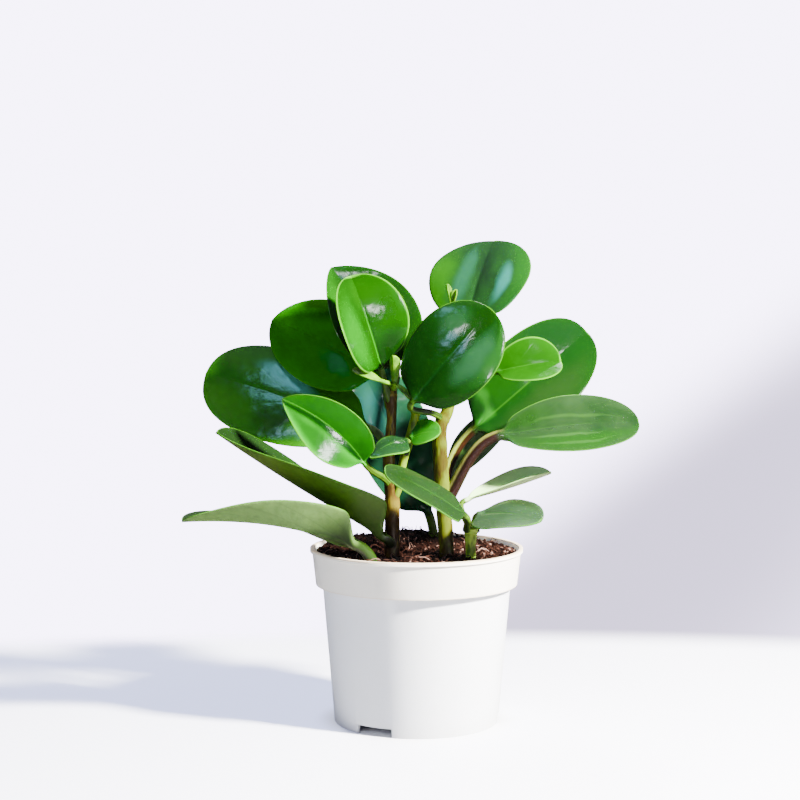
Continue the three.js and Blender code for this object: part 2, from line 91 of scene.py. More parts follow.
# A leaf goes from the middle of its stem (foot) up its stalk to the base of its blade, and on to its tip.
# face is the way that the upper side looks; arch and sway bow the midrib towards face and sideways.
# fold raises both halves of the blade in a V and curl rolls them on up, in radians; twist turns the tip.
# A low taper makes the blade broad from its base on, and a low round makes its tip blunt. rise is how
# steeply the stalk leaves its stem. A young leaf has a brighter pale edge, and margin widens that edge.
# patches are soft spots of another paint on the upper side, and under_patches on the lower side; some of
# them are painted sheens, reflections, light and shade, as said at each leaf:
# (across, along, half width, half length, turn in degrees, paint, strength).
LEAVES = {
    # leaf_top: the bluish patches at -0.36 and 0.45 across are painted reflections of a bluish sky.
    "leaf_top": dict(
        foot=(20.2, -7.6, 217), base=(28.5, -3, 225), tip=(44.5, 30, 270.5), face=(-0.3, -0.75, 0.55),
        width=60, arch=3, fold=0.12, curl=-0.15, stalk=2, taper=0.5, round=0.45, deep="0c270d",
        bright="123a11", rib=("09210a", 0.5, 0.9), patches=[(-0.85, 0.4, 0.42, 0.6, 0, "164900", 0.95),
        (-0.36, 0.5, 0.2, 0.5, 0, "164a34", 0.6), (0.02, 0.62, 0.22, 0.4, 0, "0a1d0d", 0.75),
        (0.45, 0.4, 0.2, 0.28, 0, "1f6f66", 0.6), (0.85, 0.6, 0.3, 0.5, 0, "10420a", 0.8)]),
    # leaf_behind_left: the lighter patch on the left half is painted light, where that half faces the light.
    "leaf_behind_left": dict(
        foot=(-13.4, -17.2, 184.5), base=(-12, -11, 199), tip=(-47.5, -9, 255), face=(0.38, -0.87, 0.31),
        width=58, arch=3, fold=0.45, curl=-0.1, stalk=1.9, taper=0.5, round=0.75, deep="092304",
        bright="0a3804", patches=[(-0.6, 0.7, 0.5, 0.4, 0, "0e4301", 0.8),
        (0.7, 0.5, 0.5, 0.6, 0, "071f03", 0.7)]),
    # leaf_bright_front: the pale patch on the left half is a painted sheen.
    "leaf_bright_front": dict(
        foot=(-14.2, -18, 180), base=(-19.8, -27, 200.5), tip=(-36, -38, 250), rise=-0.3,
        face=(0.5, -0.83, 0.25), width=48, arch=5, sway=-2.5, fold=0.45, curl=-0.2, stalk=1.7, taper=0.55,
        young=True, rib=("185f01", 0.85, 0.72), margin=1.8, deep="062901", bright="0a3600",
        patches=[(-0.6, 0.45, 0.42, 0.42, 0, "0e5c00", 0.6), (0.15, 0.85, 0.7, 0.2, 0, "0c3700", 0.7),
        (0.5, 0.18, 0.5, 0.26, 0, "021801", 0.7)]),
    # leaf_upper_left: the dark patch at 0.9 across is painted shade, and the bright patch at the tip a
    # painted pool of light.
    "leaf_upper_left": dict(
        foot=(-15, -17.8, 177.5), base=(-21, -11, 195.5), tip=(-82, 16, 225.5), rise=-0.2,
        face=(0.1, -0.93, 0.25), width=52, arch=3, sway=1.5, fold=0.1, curl=-0.2, stalk=1.8, taper=0.5,
        round=0.55, shine=0.05, deep="145c00", bright="1b7300",
        patches=[(0.9, 0.72, 0.5, 0.32, 0, "041200", 0.95), (0.3, 1.0, 0.6, 0.17, 12, "257c09", 0.95)]),
    # leaf_wide_left: the bluish patch at 0.42 across is a painted reflection of the sky.
    "leaf_wide_left": dict(
        foot=(-15.2, -18, 151), base=(-27, -6, 166), tip=(-119.5, 12, 195.5), face=(0, -0.9, 0.35),
        width=56, arch=4, fold=0.05, curl=-0.2, stalk=2.2, taper=0.6, round=0.42, deep="1e5e04",
        bright="2c7408", patches=[(0.42, 0.53, 0.3, 0.16, 35, "47988e", 0.65),
        (0.75, 0.62, 0.4, 0.35, 0, "266d17", 0.7), (-0.5, 0.85, 0.5, 0.3, 0, "377d0c", 0.5),
        (-0.6, 0.38, 0.5, 0.32, 0, "133d03", 0.8)]),
    # leaf_front_left: the dark patch on the left half is painted shade, against the light falling on that
    # half.
    "leaf_front_left": dict(
        foot=(-14.2, -19.5, 134), base=(-28.4, -37, 149), tip=(-72, -50, 184.7), face=(-0.1, -0.93, -0.05),
        width=37, arch=3, sway=5, fold=0.5, curl=0.1, stalk=1.7, taper=0.65, round=0.8, young=True,
        rib=("4dd519", 0.85, 1.2), margin=1.7, deep="1a720b", bright="218f0e",
        patches=[(-0.6, 0.5, 0.55, 0.7, 0, "063103", 0.9)]),
    "leaf_long_left": dict(
        foot=(-13.7, -21.8, 101), base=(-18.5, -31, 108), tip=(-108, -44, 166.5), face=(0.5, 0.15, 0.86),
        width=48, arch=-1.5, fold=0.5, twist=-1, stalk=2.6, taper=0.18, round=0.5, deep="0c1c07",
        bright="11260b", under="365b01", under_patches=[(0.0, 0.85, 1.4, 0.45, 0, "617923", 0.8),
        (0.0, 0.08, 1.2, 0.25, 0, "2a4603", 0.7)]),
    "leaf_low_left": dict(
        foot=(-19, -38, 74), base=(-33.5, -42, 105.5), tip=(-125.3, -55, 120), face=(0.1, 0.42, 0.9),
        width=41, arch=4.5, fold=0.44, twist=-0.8, stalk=3.2, taper=0.25, round=0.48, deep="101d0d",
        bright="182614", under="64883f", under_patches=[(0.0, -0.02, 1.4, 0.34, 0, "1a2e04", 0.95)],
        petiole=dict(under="101e04", over="1a2e06")),
    # leaf_dark_front: the bluish patches at -0.45 and 0.5 across are painted reflections of the sky.
    "leaf_dark_front": dict(
        foot=(13.6, -15.8, 171), base=(-2.8, -36, 182), tip=(40, -34, 232.3), face=(-0.05, -0.97, 0.2),
        width=50, arch=4, fold=0.05, curl=-0.35, stalk=1.8, taper=0.5, round=0.45, deep="031b00",
        bright="072403", rib=("123c1e", 0.12, 0.9), patches=[(-0.45, 0.72, 0.34, 0.2, 0, "12341a", 0.7),
        (0.5, 0.62, 0.34, 0.32, 0, "173c23", 0.7), (0.85, 0.72, 0.22, 0.4, 0, "0f360e", 0.8)]),
    "leaf_small_right": dict(
        foot=(18.4, -12, 184), base=(43, -19, 197.5), tip=(79.5, -16, 203), face=(0, -0.85, 0.5), width=31,
        arch=2, fold=0.5, stalk=1.5, taper=0.6, young=True, shine=0.1, margin=1.7, deep="0e3a02",
        bright="134800"),
    # leaf_wide_right: the green patch on the left half is painted light shining through, the grey-green patch
    # on the right half a painted sheen, and the last, bright patch near the base painted light where
    # leaf_small_right casts its shadow.
    "leaf_wide_right": dict(
        foot=(14.2, -18, 133.5), base=(32.5, 5, 164), tip=(99, 36, 218.5), face=(0.1, -0.95, 0.15),
        width=53, arch=4, fold=0.15, curl=-0.1, stalk=2.5, taper=0.42, round=0.42, shine=0.25,
        deep="062305", bright="0a2906", patches=[(-0.4, 0.25, 0.6, 0.35, 0, "062902", 0.9),
        (0.6, 0.45, 0.55, 0.45, 0, "13290c", 0.75), (-0.5, 0.8, 0.6, 0.3, 0, "072109", 0.7),
        (-0.42, 0.1, 0.55, 0.1, 0, "2f8420", 0.9)], petiole=dict(under="1c0e05", over="647127")),
    # leaf_far_right: the three narrow light streaks are painted sheens.
    "leaf_far_right": dict(
        foot=(14.7, -18.2, 124), base=(46, -16, 162.5), tip=(125, 2, 168.5), rise=0.1, face=(0, -0.8, 0.5),
        width=36, arch=4, fold=0.15, stalk=3.1, taper=0.6, deep="0e230c", bright="20371b",
        rib=("24540c", 0.08, 0.8), patches=[(0.65, 0.5, 0.5, 0.62, 0, "0e3404", 0.8),
        (-0.5, 0.2, 0.5, 0.25, 0, "0a2b01", 0.6), (0.34, 0.4, 0.07, 0.34, 0, "305722", 0.35),
        (0.66, 0.5, 0.07, 0.34, 0, "305722", 0.3), (-0.3, 0.5, 0.07, 0.36, 0, "2b5219", 0.3)],
        petiole=dict(under="190905", over="66692c")),
    "leaf_inner_right": dict(
        foot=(14.8, -18, 121), base=(20.5, 6, 140), tip=(55, 26, 171.5), face=(-0.3, 0.95, -0.2), width=21,
        arch=2, sway=3, curl=0.1, stalk=1.8, taper=0.5, deep="284316", bright="2f5018", under="284316"),
    # leaf_thin_right: its pale upper-side paints are painted light, lifting it out of the shade of
    # leaf_far_right.
    "leaf_thin_right": dict(
        foot=(29.6, -26.4, 108), base=(27, -14, 126), tip=(76, 4, 139.5), face=(-0.3, -0.3, 0.9), width=22,
        arch=-1, fold=0.6, stalk=1.6, deep="a1cf81", bright="c0e69c", under="98b070"),
    "leaf_fork_left": dict(
        foot=(27.5, -28.4, 111), base=(25.5, -40, 121), tip=(-17.8, -56, 147), face=(0.1, -0.5, 0.87),
        width=25, arch=2, fold=0.1, curl=-0.2, stalk=2, taper=0.2, round=0.32, deep="12250f",
        bright="172b0f", patches=[(0.0, 0.82, 1.0, 0.24, 0, "0d2207", 0.85)]),
    "leaf_fork_right": dict(
        foot=(32, -26, 110), base=(33.5, -30, 120), tip=(66, -56, 120.5), face=(0.1, -0.5, 0.87), width=36,
        arch=2, fold=0.1, curl=-0.2, stalk=2, taper=0.4, round=0.6, deep="233a22", bright="314730",
        patches=[(-0.75, 0.5, 0.35, 0.5, 0, "1c2d10", 0.7)]),
    "leaf_tongue": dict(
        foot=(-6.2, -22, 152), base=(-5.8, -29, 160.5), tip=(-25.5, -40, 152.3), face=(0.1, -0.5, 0.85),
        width=17, arch=3, fold=-0.2, stalk=1.7, taper=0.25, round=0.7, young=True, deep="0c270e",
        bright="163216"),
    "leaf_young_front": dict(
        foot=(-3.8, -22, 162), base=(-3.2, -25.2, 162.2), tip=(13, -30, 166.3), face=(0, -0.75, 0.65),
        width=17, arch=1, fold=0.2, stalk=1.5, taper=0.35, young=True, deep="134c07", bright="195e04"),
    # leaf_tall_back: its teal patch is a painted reflection of the sky.
    "leaf_tall_back": dict(
        foot=(10, 31, 74), base=(7, 27, 114), tip=(-32, 12, 199.5), face=(0.2, -0.97, 0.1), width=46,
        arch=2, fold=0.1, curl=-0.1, stalk=2.6, taper=0.45, round=0.4, shine=0.2, deep="0c2e1c",
        bright="133d27", patches=[(-0.2, 0.72, 0.7, 0.28, 0, "194440", 0.7)]),
}

SHOOTS = {
    "shoot_left": [
        dict(
            foot=(-13, -19, 188.4), base=(-12.6, -26, 192), tip=(-12.8, -36, 207), face=(0.3, 0.8, 0.5),
            width=8, fold=0.7, stalk=1.8),
        dict(
            foot=(-13, -19, 188.4), base=(-19.5, -34, 193.5), tip=(-35, -38.5, 199.5), face=(0, -0.6, 0.8),
            width=7.5, fold=0.3, stalk=1.2),
        dict(
            foot=(-13, -19, 188.4), base=(-12, -27, 191.5), tip=(-3.5, -31, 183), face=(0.5, -0.6, 0.6),
            width=5, fold=0.5, stalk=1.2),
    ],
    "shoot_right": [
        dict(
            foot=(19.8, -5.2, 230), base=(19, -7, 235), tip=(16.5, -9, 246), face=(0.6, -0.8, 0.1), width=4,
            fold=0.7, stalk=1.2),
        dict(
            foot=(19.8, -5.2, 230), base=(20, -7, 235), tip=(22, -9, 243), face=(-0.4, -0.9, 0.1), width=4,
            fold=0.7, stalk=1.2),
    ],
}

# The soil is heaped up behind the stems and a little at the left: (height, x, y, half width, half depth).
HEAPS = [(6.5, -2, 34, 26, 20), (2.4, -34, 24, 20, 26)]
SOIL_EDGE = 95.4


# Settings

COLOUR = dict(subtype="COLOR", size=4, min=0, max=1)


class PotSettings(bpy.types.PropertyGroup):
    height: bpy.props.FloatProperty(
        name="Height", description="From the foot to the top of the lip",
        default=POT_HIGH.z, min=0.02, unit="LENGTH")
    lip_radius: bpy.props.FloatProperty(
        name="Lip radius", description="Outer radius of the lip",
        default=POT_HIGH.x, min=0.02, unit="LENGTH")
    wall: bpy.props.FloatProperty(
        name="Wall", description="Thickness of the plastic", default=1.8 * MM, min=0.5 * MM, unit="LENGTH")
    plastic: bpy.props.FloatVectorProperty(
        name="Plastic", description="Colour of the body", default=paint("eff2f7"), **COLOUR)
    rim: bpy.props.FloatVectorProperty(
        name="Rim", description="Warmer colour of the band and lip", default=paint("f5f1e6"), **COLOUR)


class PlantSettings(bpy.types.PropertyGroup):
    blade: bpy.props.FloatProperty(
        name="Blade", description="Thickness of a leaf at its midrib", default=1.5 * MM, min=0.6 * MM,
        unit="LENGTH")
    margin: bpy.props.FloatProperty(
        name="Margin", description="Width of the pale line round a leaf", default=0.75 * MM, min=0.1 * MM,
        unit="LENGTH")
    margin_paint: bpy.props.FloatVectorProperty(
        name="Margin colour", description="Colour of the pale line round a leaf", default=paint("3f7d12"),
        **COLOUR)
    gloss: bpy.props.FloatProperty(
        name="Leaf roughness", description="Roughness of the waxy upper side", subtype="FACTOR",
        default=0.15, min=0.05, max=1)


class SoilSettings(bpy.types.PropertyGroup):
    crumbs: bpy.props.IntProperty(
        name="Crumbs", description="How many crumbs lie on the soil", default=3800, min=0, max=6000)
    fibres: bpy.props.IntProperty(
        name="Fibres", description="How many loose fibres lie on the soil", default=130, min=0, max=500)
    seed: bpy.props.IntProperty(name="Seed", description="Changes where the crumbs lie", default=7)
    dark: bpy.props.FloatVectorProperty(
        name="Dark", description="Colour of the hollows", default=paint("080403"), **COLOUR)
    light: bpy.props.FloatVectorProperty(
        name="Light", description="Colour of the crumbs", default=paint("27150f"), **COLOUR)


class StageSettings(bpy.types.PropertyGroup):
    floor: bpy.props.FloatVectorProperty(
        name="Floor", description="Colour of the floor", default=paint("f0f1f5"), **COLOUR)
    key: bpy.props.FloatProperty(
        name="Key light", description="Power of the light at the right", default=290, min=0, unit="POWER")
    lens: bpy.props.FloatProperty(
        name="Lens", description="Focal length of the camera", default=76.26, min=10, unit="CAMERA")


# Making meshes

SAME_PLACE = 0.001 * MM


def clear_selection():
    if bpy.context.object and bpy.context.object.mode != "OBJECT":
        bpy.ops.object.mode_set(mode="OBJECT")
    bpy.ops.object.select_all(action="DESELECT")


def apply_all(piece):
    for modifier in list(piece.modifiers):
        bpy.ops.object.modifier_apply(modifier=modifier.name)


def rolled_sheet(name, around, along, place, marks, levels=1):
    """A grid rolled into a closed body. place(i, j) puts the point i round and j along, in metres, and
    marks(i, j) gives values to keep on it by name. The rolled edges are merged and the open ends filled."""
    clear_selection()
    bpy.ops.mesh.primitive_grid_add(x_subdivisions=around, y_subdivisions=along, size=2, calc_uvs=True)
    piece = bpy.context.object
    piece.name = piece.data.name = name
    kept = {}
    for vertex in piece.data.vertices:
        i = round((vertex.co.x + 1) / 2 * around)
        j = round((vertex.co.y + 1) / 2 * along)
        vertex.co = place(i % around, j)
        for key, value in marks(i % around, j).items():
            kept.setdefault(key, []).append(value)
    for key, values in kept.items():
        vectors = isinstance(values[0], tuple)
        layer = piece.data.attributes.new(key, "FLOAT_VECTOR" if vectors else "FLOAT", "POINT")
        flat = [part for value in values for part in value] if vectors else values
        layer.data.foreach_set("vector" if vectors else "value", flat)
    bpy.ops.object.mode_set(mode="EDIT")
    bpy.ops.mesh.select_all(action="SELECT")
    bpy.ops.mesh.remove_doubles(threshold=SAME_PLACE)
    bpy.ops.mesh.fill_holes(sides=0)
    bpy.ops.mesh.select_all(action="SELECT")
    bpy.ops.mesh.normals_make_consistent(inside=False)
    bpy.ops.object.mode_set(mode="OBJECT")
    if levels:
        smooth = piece.modifiers.new("Smooth", "SUBSURF")
        smooth.levels = smooth.render_levels = levels
        apply_all(piece)
    bpy.ops.object.shade_smooth()
    return piece


def join(pieces, name):
    clear_selection()
    for piece in pieces:
        piece.select_set(True)
    bpy.context.view_layer.objects.active = pieces[0]
    bpy.ops.object.join()
    pieces[0].name = pieces[0].data.name = name
    return pieces[0]


def finished(piece, node, material):
    """The piece stands for its CAD node, on the same body, in the material given to it."""
    piece.data.materials.clear()
    piece.data.materials.append(material)
    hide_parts(node)
    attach(piece, BODY)


# Stems

def through_points(points, at):
    """The place on a smooth line through points at a share of their count, and the radius there."""
    spans = len(points) - 1
    low = min(int(at * spans), spans - 1)
    t = at * spans - low
    p = [Vector(q[:3]) for q in points]
    before = p[low - 1] if low else 2 * p[0] - p[1]
    after = p[low + 2] if low + 2 <= spans else 2 * p[spans] - p[spans - 1]
    a, b = p[low], p[low + 1]
    place = 0.5 * (2 * a + (b - before) * t + (2 * before - 5 * a + 4 * b - after) * t * t
                   + (3 * a - before - 3 * b + after) * t ** 3)
    return place, points[low][3] * (1 - t) + points[low + 1][3] * t


STEM_SIDES = 24
STEM_RINGS = 64
# A joint swells the stem by a share of its radius, over a share of the length. Lumps are spread all over it.
JOINT_SWELL, JOINT_LONG, SCAR_LONG = 0.09, 0.018, 0.02
LUMP_SWELL, LUMPS_PER_MM = 0.05, 0.22


def make_stem(name, stem):
    points = stem["through"]

    def place(i, j):
        at = j / STEM_RINGS
        centre, radius = through_points(points, at)
        nearby, _ = through_points(points, min(at + 0.01, 1))
        earlier, _ = through_points(points, max(at - 0.01, 0))
        ahead = (nearby - earlier).normalized()
        right = (Vector((1, 0, 0)) - ahead.x * ahead).normalized()
        turn = 2 * pi * i / STEM_SIDES
        out = right * cos(turn) + ahead.cross(right) * sin(turn)
        swell = sum(exp(-(((at - joint) / JOINT_LONG) ** 2)) for joint in stem["joints"])
        rough = noise.noise((centre + out * radius) * LUMPS_PER_MM)
        return (centre + out * radius * (1 + JOINT_SWELL * swell + LUMP_SWELL * rough)) * MM

    def marks(i, j):
        at = j / STEM_RINGS
        scar = max(exp(-(((at - joint) / SCAR_LONG) ** 2)) for joint in stem["joints"])
        return {"stem_place": (i / STEM_SIDES, at, scar)}

    return rolled_sheet(name, STEM_SIDES, STEM_RINGS, place, marks)


# Leaves

# Places across half a blade, closer where it bends: at the midrib and at the margin
HALF_ACROSS = (0, 0.025, 0.07, 0.16, 0.3, 0.45, 0.6, 0.74, 0.86, 0.94, 0.98, 1)
ACROSS = [-x for x in reversed(HALF_ACROSS[1:])] + list(HALF_ACROSS)
AROUND = [(x, 1) for x in ACROSS] + [(x, -1) for x in reversed(ACROSS[1:-1])]
STALK_RINGS, BLADE_RINGS = 12, 38
# Shares of the blade: where the stalk has flattened into it, and where its edge begins to be rounded
FLARE = 0.1
ROUNDED_FROM, ROUNDED_SQUARED = 0.93, 0.0049
# In millimetres: the blade's thickness at its edge, the midrib's half width, groove above and keel below
EDGE_OF_BLADE, RIB_HALF, GROOVE, KEEL = 0.9, 1.1, 0.45, 0.9
PAIRS_OF_VEINS, VEIN_SLANT, VEIN_RAISED = 6, 1.6, 0.02
# The margin's waves, as a share of the blade's width
RIPPLE = 0.012
# How far along a stalk's reach its two handles stand, and how much it swells at the foot
HANDLE, STALK_FOOT = 0.35, 0.25


def smooth_step(value, low, high):
    t = min(max((value - low) / (high - low), 0), 1)
    return t * t * (3 - 2 * t)


def blade_frame(leaf):
    """Where the midrib is at a share of the blade's length, the way it runs, and its two sides."""
    base = Vector(leaf["base"])
    chord = Vector(leaf["tip"]) - base
    along = chord.normalized()
    up = Vector(leaf["face"])
    up = (up - up.dot(along) * along).normalized()
    side = along.cross(up)
    arch, sway, twist = leaf.get("arch", 0), leaf.get("sway", 0), leaf.get("twist", 0)

    def at(share):
        bow = 4 * share * (1 - share)
        slope = 4 - 8 * share
        centre = base + chord * share + up * arch * bow + side * sway * bow
        ahead = (chord + up * arch * slope + side * sway * slope).normalized()
        right = Quaternion(ahead, twist * (share - 0.5)) @ side
        right = (right - right.dot(ahead) * ahead).normalized()
        return centre, ahead, right, right.cross(ahead)

    return at


def half_width(leaf, share):
    taper, rounding = leaf.get("taper", 0.8), leaf.get("round", 0.5)
    widest = taper / (taper + rounding)
    outline = share ** taper * (1 - share) ** rounding / (widest ** taper * (1 - widest) ** rounding)
    blade = leaf["width"] / 2 * outline
    return hypot(blade, leaf["stalk"] * (1 - share), 0.6)


def folded(leaf, place):
    """How far out and up a point lies, for each unit of half width, at a place across the blade."""
    fold, curl, far = leaf.get("fold", 0), leaf.get("curl", 0), abs(place)
    end = fold + curl * far
    if abs(curl) < 0.001:
        out, lift = far * cos(fold), far * sin(fold)
    else:
        out = (sin(end) - sin(fold)) / curl
        lift = (cos(fold) - cos(end)) / curl
    return copysign(out, place), lift


def stalk_curve(leaf, at):
    foot = Vector(leaf["foot"])
    centre, ahead, _, _ = at(0)
    reach = (centre - foot).length
    leaving = (centre - foot).normalized() + Vector((0, 0, leaf.get("rise", 0.7)))
    near = foot + leaving.normalized() * reach * HANDLE
    late = centre - ahead * reach * HANDLE

    def point(t):
        u = 1 - t
        place = foot * u ** 3 + near * 3 * t * u ** 2 + late * 3 * t * t * u + centre * t ** 3
        slope = (near - foot) * u ** 2 + (late - near) * 2 * t * u + (centre - late) * t * t
        return place, slope.normalized()

    return point


def make_leaf(name, leaf, settings, stalk_rings=STALK_RINGS, blade_rings=BLADE_RINGS):
    """Rings up the stalk and on along the blade, which has ribs, veins, waves and a rounded edge."""
    at = blade_frame(leaf)
    curve = stalk_curve(leaf, at)
    around = len(AROUND)
    along = stalk_rings + blade_rings
    phase = sum(ord(letter) for letter in name)
    thick = settings.blade / MM
    ripple = RIPPLE * leaf["width"]
    rings = []
    right = at(0)[2]
    for j in range(stalk_rings - 1, -1, -1):
        t = j / stalk_rings
        centre, ahead = curve(t)
        right = (right - right.dot(ahead) * ahead).normalized()
        up = right.cross(ahead)
        radius = leaf["stalk"] * (1.15 - 0.15 * t + STALK_FOOT * (1 - t) ** 8)
        rings.insert(0, [centre + right * radius * x + up * face * radius * sqrt(1 - x * x) *
                         (1 - 0.25 * (1 - abs(x)) * (face > 0)) for x, face in AROUND])
    edges = [[radius] * around for _ in range(stalk_rings)]
    for j in range(blade_rings + 1):
        share = (1 - cos(pi * j / blade_rings)) / 2
        centre, ahead, right, up = at(share)
        half = half_width(leaf, share)
        flat = smooth_step(share, 0, FLARE)
        ring, edge = [], []
        for x, face in AROUND:
            out, lift = folded(leaf, x)
            far = abs(x)
            body = thick * (1 - far) + EDGE_OF_BLADE * far
            body *= sqrt(max(1 - max(far - ROUNDED_FROM, 0) ** 2 / ROUNDED_SQUARED, 0))
            rib = exp(-((far * half / RIB_HALF) ** 2)) * (1 - share)
            fine = -(GROOVE if face > 0 else KEEL) * rib
            vein = sin(2 * pi * (PAIRS_OF_VEINS * share - VEIN_SLANT * far))
            fine += VEIN_RAISED * vein * sin(pi * min(far, 1)) * (1 - share)
            wave = ripple * far ** 3 * sin(9 * share + phase + x) * smooth_step(share, 0, 0.4)
            flat_place = centre + right * half * out + up * (half * lift + wave)
            flat_place += up * face * (body / 2 + fine)
            round_place = centre + right * leaf["stalk"] * x
            round_place += up * face * leaf["stalk"] * sqrt(1 - x * x)
            ring.append(round_place.lerp(flat_place, flat))
            to_tip = (1 - share) * (Vector(leaf["tip"]) - Vector(leaf["base"])).length
            edge.append(min(half * (1 - far), to_tip))
        rings.append(ring)
        edges.append(edge)

    def place(i, j):
        return rings[j][i] * MM

    def marks(i, j):
        x, face = AROUND[i]
        if j < stalk_rings:
            share = j / stalk_rings - 1
        else:
            share = (1 - cos(pi * (j - stalk_rings) / blade_rings)) / 2
        return {"leaf_place": (x, share, 0 if abs(x) == 1 else face), "from_margin": edges[j][i] * MM}

    return rolled_sheet(name, around, along, place, marks)


# Nodes of a material

class Shading:
    """Makes the nodes of one tree. Each call adds one node and returns the output that the next one takes."""

    def __init__(self, tree):
        self.tree = tree
        self.column = 0

    def node(self, kind, **settings):
        made = self.tree.nodes.new(kind)
        made.location = (self.column, 0)
        self.column += 180
        for name, value in settings.items():
            setattr(made, name, value)
        return made

    def feed(self, socket, value):
        """Links an output to the socket, or sets a number, a colour or a paint's six signs on it."""
        if isinstance(value, bpy.types.NodeSocket):
            self.tree.links.new(value, socket)
        else:
            socket.default_value = paint(value) if isinstance(value, str) else value

    def fed(self, kind, given, **settings):
        """A node with what is given to its sockets, by their number or name."""
        made = self.node(kind, **settings)
        for socket, value in given.items():
            self.feed(made.inputs[socket], value)
        return made

    def maths(self, operation, a, b=0.0, c=0.0, clamp=False):
        given = {0: a, 1: b, 2: c}
        return self.fed("ShaderNodeMath", given, operation=operation, use_clamp=clamp).outputs[0]

    def times(self, a, b):
        return self.maths("MULTIPLY", a, b)

    def plus(self, a, b):
        return self.maths("ADD", a, b)

    def minus(self, a, b):
        return self.maths("SUBTRACT", a, b)

    def distance(self, a, b):
        return self.maths("SQRT", self.plus(self.times(a, a), self.times(b, b)))

    def mix(self, share, a, b):
        return self.fed("ShaderNodeMix", {0: share, 6: a, 7: b}, data_type="RGBA").outputs[2]

    def mix_values(self, share, a, b):
        return self.fed("ShaderNodeMix", {0: share, 2: a, 3: b}, data_type="FLOAT").outputs[0]

    def step(self, value, low, high, to_low=0.0, to_high=1.0):
        given = {0: value, 1: low, 2: high, 3: to_low, 4: to_high}
        return self.fed("ShaderNodeMapRange", given, interpolation_type="SMOOTHSTEP").outputs[0]

    def noise(self, place, scale, detail=3.0, rough=0.5):
        given = {"Vector": place, "Scale": scale, "Detail": detail, "Roughness": rough}
        return self.fed("ShaderNodeTexNoise", given).outputs[0]

    def kept(self, name, output="Fac"):
        return self.node("ShaderNodeAttribute", attribute_name=name).outputs[output]

    def parts(self, vector):
        return tuple(self.fed("ShaderNodeSeparateXYZ", {0: vector}).outputs)

    def object_place(self, scale=(1, 1, 1)):
        place = self.node("ShaderNodeTexCoord").outputs["Object"]
        return self.fed("ShaderNodeMapping", {"Vector": place, "Scale": scale}).outputs[0]

    def group(self, tree, **values):
        given = {name.replace("_", " "): value for name, value in values.items()}
        return self.fed("ShaderNodeGroup", given, node_tree=tree)


def new_group(name, inputs, outputs):
    tree = bpy.data.node_groups.new(name, "ShaderNodeTree")
    kinds = {"colour": "NodeSocketColor", "value": "NodeSocketFloat"}
    for label, kind in inputs:
        tree.interface.new_socket(label, in_out="INPUT", socket_type=kinds[kind])
    for label, kind in outputs:
        tree.interface.new_socket(label, in_out="OUTPUT", socket_type=kinds[kind])
    s = Shading(tree)
    return tree, s, s.node("NodeGroupInput").outputs, s.node("NodeGroupOutput").inputs


def shared(name, build):
    return bpy.data.node_groups.get(name) or build(name)


def patch_group(name):
    """A soft oval on a leaf, from its place across and along the blade."""
    inputs = [(x, "value") for x in ("Across", "Along", "Half Width", "Half Length", "Turn", "Side")]
    tree, s, given, out = new_group(name, inputs, [("Mask", "value")])
    x, y, side = s.parts(s.kept("leaf_place", "Vector"))
    wobble = s.times(s.minus(s.noise(s.object_place(), 38.0, 2.0), 0.5), 0.5)
    dx = s.plus(s.minus(x, given["Across"]), wobble)
    dy = s.plus(s.minus(y, given["Along"]), s.times(wobble, 0.6))
    turn = s.maths("RADIANS", given["Turn"])
    cosine, sine = s.maths("COSINE", turn), s.maths("SINE", turn)
    u = s.maths("DIVIDE", s.plus(s.times(dx, cosine), s.times(dy, sine)), given["Half Width"])
    v = s.maths("DIVIDE", s.minus(s.times(dy, cosine), s.times(dx, sine)), given["Half Length"])
    mask = s.step(s.distance(u, v), 0.25, 1.1, 1.0, 0.0)
    on_side = s.step(s.times(side, given["Side"]), -0.2, 0.4)
    s.feed(out["Mask"], s.times(mask, on_side))
    return tree


